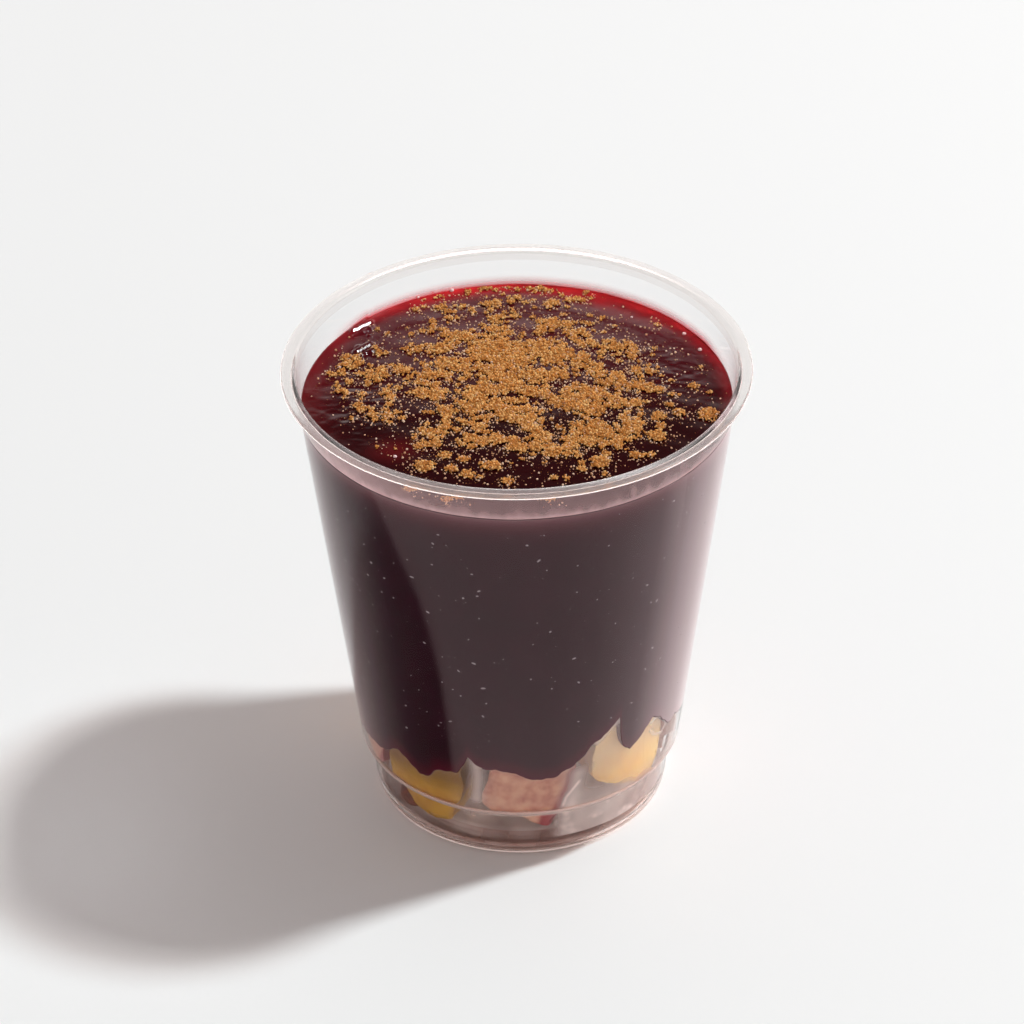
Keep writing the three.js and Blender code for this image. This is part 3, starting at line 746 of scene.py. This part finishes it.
def sparse(x, y):
    """Chance of single grains, which lie round the puffs and between them."""
    inside = field_at(INSIDE, x, y)
    round_puffs = np.where(inside > 0, np.clip(1.1 - 2.0 * inside, 0.25, 1),
                           np.exp(np.minimum(inside, 0) / 0.9))
    haze = 0.25 * np.clip(1.2 - oval(x, y, (0, 5), (37, 37)), 0, 1)
    pits = 0.5 + 0.5 * CRUMBS(x / 0.9, y / 0.9 + 60)
    return np.clip(0.85 * round_puffs * pits + haze * pits, 0.004, 1)


def heap(x, y):
    """Thickness of the powder's layer."""
    lumps = 0.75 + 0.35 * CRUMBS.layered(x / 1.5, y / 1.5, 2)
    return field_at(THICKNESS, x, y) * lumps


POWDER_REACH = 42.6
ROW_GAP = 0.87  # between rows, as a share of the spacing in a row
JITTER = 0.26  # of each place, as a share of the spacing


def spread_out(spacing, chance, seed):
    """Places some distance apart, each taken with its chance."""
    random = np.random.default_rng(seed)
    reach = int(FIELD_REACH / spacing / ROW_GAP)
    i, j = np.meshgrid(np.arange(-reach, reach + 1), np.arange(-reach, reach + 1))
    x = (i + 0.5 * (j % 2)).ravel() * spacing
    x = x + random.normal(0, JITTER, len(x)) * spacing
    y = j.ravel() * spacing * ROW_GAP
    y = y + random.normal(0, JITTER, len(y)) * spacing
    good = (np.hypot(x, y) < POWDER_REACH) & (random.random(len(x)) < chance(x, y))
    return x[good], y[good], random


def grains(name, places, sizes, shape, material, rise):
    """Loose grains, which lie at a share of the powder's thickness."""
    x, y, random = places
    count = len(x)
    size = sizes[0] + (sizes[1] - sizes[0]) * random.random(count) ** 2
    z = top_height(x, y) + heap(x, y) * random.uniform(*rise, count) + 0.3 * size
    corners, faces = shape
    turns = np.linalg.qr(random.normal(size=(count, 3, 3)))[0]
    turns[np.linalg.det(turns) < 0] *= -1
    stretch = random.uniform(0.75, 1.25, (count, 1, 3)) * size[:, None, None]
    points = (corners[None] * stretch) @ turns + np.stack([x, y, z], 1)[:, None]
    made = copies_object(name, points, faces, material,
                         {"tone": np.repeat(random.random(count), len(corners))})
    if shape is OCTAHEDRON:
        made.data.shade_flat()


OCTAHEDRON = (
    np.array([(1, 0, 0), (-1, 0, 0), (0, 1, 0), (0, -1, 0), (0, 0, 1), (0, 0, -1)], float),
    np.array([(0, 2, 4), (2, 1, 4), (1, 3, 4), (3, 0, 4),
              (2, 0, 5), (1, 2, 5), (3, 1, 5), (0, 3, 5)]))


def icosahedron():
    g = (1 + 5**0.5) / 2
    corners = np.array([(-1, g, 0), (1, g, 0), (-1, -g, 0), (1, -g, 0), (0, -1, g), (0, 1, g),
                        (0, -1, -g), (0, 1, -g), (g, 0, -1), (g, 0, 1), (-g, 0, -1), (-g, 0, 1)])
    faces = np.array([(0, 11, 5), (0, 5, 1), (0, 1, 7), (0, 7, 10), (0, 10, 11), (1, 5, 9),
                      (5, 11, 4), (11, 10, 2), (10, 7, 6), (7, 1, 8), (3, 9, 4), (3, 4, 2),
                      (3, 2, 6), (3, 6, 8), (3, 8, 9), (4, 9, 5), (2, 4, 11), (6, 2, 10),
                      (8, 6, 7), (9, 8, 1)])
    return corners / np.hypot(1, g), faces


INSIDE, THICKNESS = powder_field()


def make_crust(material):
    """The powder's fused surface, under its loose grains."""
    x, y = (v.ravel() for v in field_grid())
    random = np.random.default_rng(26)
    used = dense(x, y) > 0.75
    z = top_height(x, y) + 0.95 * heap(x, y) + random.uniform(-0.1, 0.06, len(x))
    cells = np.arange(FIELD_SIDE - 1)
    first = (cells[:, None] * FIELD_SIDE + cells).ravel()
    faces = np.stack([first, first + FIELD_SIDE, first + FIELD_SIDE + 1, first + 1], -1)
    kept, places = np.unique(faces[used[faces].all(1)], return_inverse=True)
    mesh_object("cinnamon_crust", np.stack([x, y, z], 1)[kept], [places.reshape(-1, 4)],
                [material], values={"tone": random.random(len(kept))})


def make_cinnamon():
    gold = cinnamon_material("cinnamon_gold", 0.4, 0xC88440, 0xEEAA5C, 0xFFDA98)
    pale = cinnamon_material("cinnamon_pale", 0.5, 0xD8A884, 0xF4CCAA, 0xFFE9D6)
    brown = cinnamon_material("cinnamon_brown", 0.5, 0x965A2A, 0xCC9054, 0xECBC84)
    # Painted shade: the fused surface is darker than the loose grains, as the shade between them.
    make_crust(cinnamon_material("cinnamon_fused_and_painted_shade", 0.5, 0x7C4A24, 0xB87E42, 0xE0A660))
    ball = icosahedron()
    grains("cinnamon_drifts", spread_out(0.54, dense, 21), (0.17, 0.28), ball, gold, (0.8, 1.15))
    grains("cinnamon_grains", spread_out(0.54, sparse, 22), (0.12, 0.26), ball, pale, (0.3, 1.0))
    grains("cinnamon_dust", spread_out(0.42, sparse, 23), (0.05, 0.11), OCTAHEDRON, brown,
           (0.35, 1.0))


# ---- films

def top_film(degrees, share):
    """Residue above the pudding: a fading line of painted highlight, a haze in front, smears, and a
    painted red glow at the back.
    """
    ragged = 0.5 + 0.5 * CRUMBS.layered(degrees / 2.2, share * 3, 3)
    front = np.clip(np.cos(np.radians(degrees)) + 0.35, 0, 1)
    back = np.clip((np.where(degrees > 0, degrees, -degrees - 18) - 98) / 18, 0, 1)
    # Painted highlight: a pale line along the fill line, fading upwards.
    line = np.exp(-share / (0.07 + 0.1 * ragged)) * np.clip(front, 0.15, 0.8) * (1 - back)
    # Painted light: at the back the film glows red, as light through the gel's thin edge.
    painted_backlight_glow = np.clip(1.02 - share / 0.34, 0, 1) ** 1.5 * back
    left = np.exp(-(((degrees + 55) / 22) ** 2))
    smears = np.clip(WAVES.layered(degrees / 3.1, share * 1.5 + degrees / 9, 3) - 0.55, 0, 1)
    haze = (0.24 + 0.3 * left + 0.4 * smears) * front
    red = np.maximum(0.1 * np.exp(-share / 0.1), back)
    return np.clip(np.maximum(line, painted_backlight_glow) + haze, 0, 1), red


# How milky the foot's film is, milkiest on the right as painted light through the foot: degrees
# from the best side, and share.
FOOT_HAZE_AND_PAINTED_LIGHT = [(-180, 0.05), (-110, 0.1), (-80, 0.1), (-64, 0.0), (-54, 0.0), (-30, 0.03),
             (-18, 0.2), (-8, 0.04), (9, 0.0), (11.5, 0.05), (16, 0.5), (22, 0.65), (40, 0.5),
             (55, 0.28), (75, 0.15), (140, 0.1), (180, 0.05)]
# Streaks in the foot's film: places as (degrees, height), then half width and share.
STREAKS = [
    ([(25.9, 30.6), (31.3, 33.5), (36.9, 35.9)], 0.6, 0.3),
    ([(20.2, 20.8), (15.7, 17), (14.7, 14.8)], 0.3, 0.5),
    ([(49.2, 28.6), (52.8, 29.4), (57.5, 27), (59.7, 24.6), (56.9, 23.1), (52, 24.6),
      (49.6, 26.6)], 0.35, 0.5),
    ([(-15.5, 28.5), (-15, 23), (-16, 17)], 1.4, 0.45),
    ([(19.5, 23), (18.5, 18), (17.5, 12)], 1.6, 0.35),
]


def foot_film(degrees, z):
    """Residue under the pudding: soft swirls, milkiest on the right as painted light through the
    foot.
    """
    below = lower_edge(degrees) - z
    edge = np.exp(-np.clip(below, 0, 40) / 0.5) * 0.12
    swirls = np.clip(WAVES.layered(degrees / 6 + z / 9, z / 2.6, 3) - 0.1, 0, 1)
    haze = read(FOOT_HAZE_AND_PAINTED_LIGHT, degrees)[0] * np.interp(z, [13, 19], [1, 0.35])
    amount = haze * (1 + 0.25 * CRUMBS.layered(degrees / 9, z / 5, 2) + 0.9 * swirls * (z < 13))
    for line, width, strong in STREAKS:
        far = distance_to_line(on_wall(degrees, z), on_wall(*np.array(line).T))
        amount = amount + strong * np.exp(-((far / width) ** 2))
    return np.clip(amount + edge, 0, 1), np.full_like(z, 0.2)


def on_wall(degrees, z):
    """Places on the unrolled wall: along it, and height."""
    return np.stack([np.radians(degrees) * inner_radius(z), z], -1)


def distance_to_line(points, line):
    """How far points are from a line through some places."""
    nearest = np.full(len(points), 99.0)
    for a, b in zip(line, line[1:]):
        t = np.clip(((points - a) @ (b - a)) / ((b - a) @ (b - a)), 0, 1)[:, None]
        nearest = np.minimum(nearest, np.linalg.norm(points - a - (b - a) * t, axis=1))
    return nearest


def wall_film(name, rows, material, look):
    """A film just inside the wall; look says how strong and red each row is."""
    degrees = around(PUDDING_STEPS) - 180
    rings = [on_ring(inner_radius(z) - FILM_GAP, degrees, z) for z in rows]
    cover, red = np.array([look(degrees, k) for k in range(len(rows))]).transpose(1, 0, 2)
    mesh_object(name, np.concatenate(rings), [ring_faces(len(rings), PUDDING_STEPS)],
                [material], values={"cover": cover.ravel(), "red": red.ravel()})


def make_films():
    degrees = around(PUDDING_STEPS) - 180
    edge = on_ring(inner_radius(FILL_HEIGHT) - FILM_GAP, degrees, 0.0)
    start = top_height(edge[:, 0], edge[:, 1]) - 0.2
    shares = np.linspace(0, 1, 24) ** 1.5
    rows = [start + (FILM_TOP - start) * share for share in shares]
    # The film's pale pink is residue; its deep red is painted light.
    wall_film("wall_film_top_and_painted_light", rows, film_material("film_pink_and_painted_light", 0xEBC6C8, 0xF0505C),
              lambda turn, k: top_film(turn, np.full_like(turn, shares[k])))
    low = lower_edge(degrees)
    below = [FILM_FOOT + (low + 0.3 - FILM_FOOT) * share for share in np.linspace(0, 1, 60)]
    wall_film("wall_film_foot_and_painted_light", below, film_material("film_rose_and_painted_light", 0xFFF0E8, 0xA05058),
              lambda turn, k: foot_film(turn, below[k]))


# The juice's outline, from the middle over the floor into the foot's channel, and back.
JUICE_TOP = [(CORE_RADIUS - 1, 4.5), (14, 4.4), (20, 4.1), (25.4, 3.8), (26.4, 3.4), (27.2, 2.0),
             (28.2, 1.3), (29.0, 1.6), (29.5, 2.4), (29.85, 3.2)]
JUICE_BOTTOM = [(29.98, 2.7), (29.25, 1.25), (28.5, 0.75), (27.5, 0.75),
                (26.85, 2.75), (21, 3.25), (CORE_RADIUS - 1, 3.75)]
JUICE_STEPS = 240


def make_juice():
    """Pink juice on the cup's floor, redder in the foot's channel."""
    degrees = around(JUICE_STEPS)
    top = np.array(JUICE_TOP)
    fine = np.linspace(0, len(top) - 1, 44)
    rings = []
    for radius, height in zip(*(np.interp(fine, np.arange(len(top)), top[:, k]) for k in (0, 1))):
        flat = on_ring(radius, degrees, 0.0)
        wet = 0.3 * WAVES.layered(flat[:, 0] / 5, flat[:, 1] / 5, 3) * (radius < 26)
        rings.append(on_ring(radius, degrees, height + wet))
    rings += [on_ring(radius, degrees, height) for radius, height in JUICE_BOTTOM]
    points = np.concatenate(rings)
    x, y = points[:, 0], points[:, 1]
    cover = np.clip(0.6 + 0.25 * CRUMBS.layered(x / 9, y / 9, 2), 0.2, 1)
    red = 0.1 + 0.4 * WAVES.layered(x / 6, y / 6, 3) + 0.7 * (np.hypot(x, y) > 26.3)
    mesh_object("juice_pool", points, [ring_faces(len(rings), JUICE_STEPS, shut=True)[:, ::-1]],
                [film_material("pink_juice", 0xFFF2EC, 0xB88A7E, 0.2)],
                values={"cover": cover, "red": np.clip(red, 0, 1)})


# Small pale bubbles in the top, as (x, y, radius).
BUBBLES = [(-20.4, 38.6, 0.42), (-17.4, 40.4, 0.3), (-13.3, 41.2, 0.45), (34.6, 23.3, 0.4),
           (37.6, 17.1, 0.4), (-24.2, -21.4, 0.35), (-36, 12, 0.3), (24, 30, 0.25), (29, 27, 0.25)]


def make_bubbles():
    corners, faces = halved(*icosahedron())
    bubbles = [corners * radius * (1.1, 1.1, 0.8) + (x, y, float(top_height(x, y)) + 0.3 * radius)
               for x, y, radius in BUBBLES]
    shade = Shade("pale_bubbles")
    copies_object("top_bubbles", np.array(bubbles), faces,
                  shade.done(base_color=linear(0xF0D0D0), roughness=0.2))


SPECKS = 1000


def make_specks():
    """Tiny pale bubbles and bits where the pudding touches the wall."""
    random = np.random.default_rng(41)
    corners, faces = icosahedron()
    degrees = random.uniform(-180, 180, SPECKS)
    z = random.uniform(30, FILL_HEIGHT - 2, SPECKS)
    size = 0.05 + 0.22 * random.random(SPECKS) ** 4
    along = random.uniform(0.7, 2.6, SPECKS)
    shapes = corners[None] * np.stack([size * along, size * 0 + 0.05, size], 1)[:, None]
    tilt = random.uniform(-0.9, 0.9, SPECKS)[:, None]
    x = shapes[:, :, 0] * np.cos(tilt) - shapes[:, :, 2] * np.sin(tilt)
    up = shapes[:, :, 0] * np.sin(tilt) + shapes[:, :, 2] * np.cos(tilt)
    away = inner_radius(z)[:, None] + INTO_WALL + shapes[:, :, 1]
    turn = degrees[:, None] + np.degrees(x / away)
    shade = Shade("pale_specks")
    pale = shade.done(base_color=linear(0xA89A9C), roughness=0.5, specular_ior_level=0.0)
    copies_object("wall_specks", on_ring(away, turn, z[:, None] + up), faces, pale)


# ---- fruit

CORNER_SHARE = 0.26  # how much of a side goes into rounding off each of its corners


def smooth_outline(outline, count):
    """The outline with its corners rounded off, as evenly spread points."""
    corners = np.array(outline, float)
    before, after = np.roll(corners, 1, 0), np.roll(corners, -1, 0)
    starts, ends = (corners + (near - corners) * CORNER_SHARE for near in (before, after))
    t = np.linspace(0, 1, 12, endpoint=False)[None, :, None]
    line = curve(starts[:, None], corners[:, None], ends[:, None], t).reshape(-1, 2)
    steps = np.linalg.norm(np.roll(line, -1, 0) - line, axis=1)
    along = np.concatenate([[0], np.cumsum(steps)])
    shut = np.vstack([line, line[:1]])
    at = np.linspace(0, along[-1], count, endpoint=False)
    return np.stack([np.interp(at, along, shut[:, k]) for k in (0, 1)], 1)


FRUIT_STEPS = 120
OUTER_END = 35.0  # past the wall, which presses the piece's outer face into its own curve
ROUNDING = 1.6


def fruit_points(outline, inner):
    """Rings of a fruit piece, from its outer face's middle inwards."""
    outline = smooth_outline(outline, FRUIT_STEPS)
    middle = outline.mean(0)
    shares = np.linspace(0.06, 1, 12)
    rings = [(share, OUTER_END) for share in shares]
    rings += [(1.0, OUTER_END - ROUNDING * k) for k in np.linspace(0, 1, 5)[1:]]
    rings += [(1.0, away) for away in np.linspace(OUTER_END - ROUNDING, inner + ROUNDING, 22)[1:]]
    rings += [(share, inner + ROUNDING * max(0, (share - 0.8) / 0.2) ** 2)
              for share in np.linspace(1, 0.06, 12)]
    share, depth = np.array(rings).T[..., None]
    along, z = (middle[k] + (outline[:, k] - middle[k]) * share for k in (0, 1))
    return np.stack([along * depth / OUTLINE_DISTANCE, depth + 0 * z, z], -1)


def place_fruit(points, at):
    """Points as (along the wall, distance from the axis, height), turned to their place."""
    along, away, z = points.reshape(-1, 3).T
    return on_ring(away, at, z) + on_ring(along, at + 90, 0)


def wall_gap(z):
    """The room between the fruit and the wall."""
    return np.interp(z, [4, 12, 17, 24, 40], [0.9, 0.5, 0.5, 1.5, 1.7])


def roughen(points, amount, size, seed):
    """Points moved to and fro by noise, more so on a coarse scale."""
    noise.seed_set(seed)
    shift = Vector((seed * 3.1, seed * 1.7, seed * 0.9))
    for i, p in enumerate(points):
        at = Vector(p) / size + shift
        points[i] += amount * np.array(noise.noise_vector(at))
        points[i] += amount * 0.4 * np.array(noise.noise_vector(at * 2.7))
    return points


def press_to_wall(points):
    """Keeps points inside the cup: off the wall, and on its floor."""
    radius = np.hypot(points[:, 0], points[:, 1])
    room = inner_radius(points[:, 2]) - wall_gap(points[:, 2])
    points[:, :2] *= np.minimum(1, room / np.maximum(radius, 1e-6))[:, None]
    points[:, 2] = np.maximum(points[:, 2], FLOOR_TOP + 0.15)
    return points


# Where a quince piece has kept its skin: an edge from its upper right to its tail.
SKIN_LINE = np.array([(9.9, 22.7), (8.9, 19.4), (7.4, 16.3), (6.0, 12.0), (3.7, 7.8),
                      (4.3, 10.4)])


def skin_amount(points):
    flat = np.stack([points[:, 0] * OUTLINE_DISTANCE / points[:, 1], points[:, 2]], 1)
    nearest = distance_to_line(flat, SKIN_LINE)
    wide = 1.5 + 0.7 * np.clip((9.5 - flat[:, 1]) / 2, 0, 1)
    return np.clip((wide - nearest) / 0.5 + 0.5, 0, 1)


def make_fruit():
    finishes = {
        "pineapple": pineapple_material(
            "pineapple_ochre", 0xC8961A, 0xB07A0C, 0x925A12, 0x481C08, 15.0, 19.5),
        "pineapple_pale": pineapple_material(
            "pineapple_pale", 0xFFCC58, 0xF6B434, 0xDCA050, 0xF8DCB8, 15.0, 25.0),
        "quince": quince_material("quince_flesh"),
    }
    slots = {part["node"]: part["material_slot"] for part in frame["record"]["subparts"]}
    for seed, (name, piece) in enumerate(FRUIT.items()):
        rings = fruit_points(piece["outline"], piece["inner"])
        points = press_to_wall(roughen(place_fruit(rings, piece["at"]), 0.5, 4.5, seed + 1))
        points = points.reshape(rings.shape)
        points, faces = capped(points, [points[0].mean(0), points[-1].mean(0)])
        skin = np.concatenate([[0, 0], skin_amount(rings.reshape(-1, 3))])
        slot = slots[name]
        mesh_object(name + "_piece", points, faces, [finishes[slot]], [name], {"skin": skin})


def make_prune():
    corners, faces = icosahedron()
    for _ in range(4):
        corners, faces = halved(corners, faces)
    points = corners * (1, -1, 1) * PRUNE["size"] + (0, PRUNE["distance"], PRUNE["height"])
    points = roughen(place_fruit(points, PRUNE["at"]), 0.35, 1.6, 31)
    mesh_object("prune_left_piece", press_to_wall(points), [faces],
                [prune_material("prune_skin")], ["prune_left"])


def halved(corners, faces):
    """Each triangle split in four, on the unit sphere."""
    edges = np.sort(np.concatenate([faces[:, [0, 1]], faces[:, [1, 2]], faces[:, [2, 0]]]), 1)
    pairs, where = np.unique(edges, axis=0, return_inverse=True)
    middles = corners[pairs].mean(1)
    middles /= np.linalg.norm(middles, axis=1)[:, None]
    a, b, c = (where.reshape(-1)[k * len(faces):(k + 1) * len(faces)] + len(corners)
               for k in range(3))
    p, q, r = faces.T
    split = np.stack([p, a, c, a, q, b, c, b, r, a, b, c], 1).reshape(-1, 3)
    return np.vstack([corners, middles]), split


# ---- stage

FLOOR_HALF = 3.0  # in metres


def make_floor():
    shade = Shade("pale_table")
    # Painted light: the floor is lighter towards +X, the key's side, as a near lamp would light it.
    colour = shade.mix(shade.along("X", -120, 140), 0xEEEFEF, 0xF7F8F8)
    mesh = bpy.data.meshes.new("floor")
    corners = [(-1, -1, 0), (1, -1, 0), (1, 1, 0), (-1, 1, 0)]
    mesh.from_pydata([FLOOR_HALF * Vector(c) for c in corners], [], [(0, 1, 2, 3)])
    mesh.materials.append(shade.done(base_color=colour, roughness=0.7, specular_ior_level=0.2))
    floor = scene_object("floor", mesh)


def make_lights():
    """A sun for the key light, and a sky that is bright low down."""
    key = bpy.data.lights.new("key", "SUN")
    key.energy = KEY_STRENGTH
    key.color = KEY_COLOUR
    key.angle = math.radians(KEY_ANGLE)
    turn = Vector(KEY_DIRECTION).to_track_quat("Z", "Y").to_euler()
    scene_object("key", key).rotation_euler = turn

    shade = Shade("studio", bpy.data.worlds.new("studio"), "Generated")
    way = shade.add("SeparateXYZ", {0: shade.coords}).outputs
    stops = [(place, [grey * c for c in SKY_COLOUR] + [1.0]) for place, grey in SKY]
    sky = shade.add("Background", {
        "Color": shade.ramp(way["Z"], *stops),
        "Strength": shade.maths("MULTIPLY_ADD", way["Y"], SKY_BACK, 1.0)}).outputs[0]
    bpy.context.scene.world = shade.finish(sky, "OutputWorld")
    bpy.context.scene.view_settings.view_transform = "Standard"


def make_camera():
    """A long lens that looks down at the cup."""
    data = bpy.data.cameras.new("camera")
    data.lens = CAMERA_LENS
    data.sensor_width = SENSOR
    data.clip_end = 10
    camera = scene_object("camera", data)
    camera.matrix_world = (
        Matrix.Translation(Vector(CAMERA_TARGET) * MM)
        @ Matrix.Rotation(math.radians(90 - CAMERA_ELEVATION), 4, "X")
        @ Matrix.Rotation(math.radians(CAMERA_ROLL), 4, "Z")
        @ Matrix.Translation((0, 0, CAMERA_DISTANCE * MM)))
    bpy.context.scene.camera = camera


make_camera()
make_lights()
make_floor()
make_cup()
make_pudding()
make_cinnamon()
make_films()
make_juice()
make_bubbles()
make_specks()
make_fruit()
make_prune()
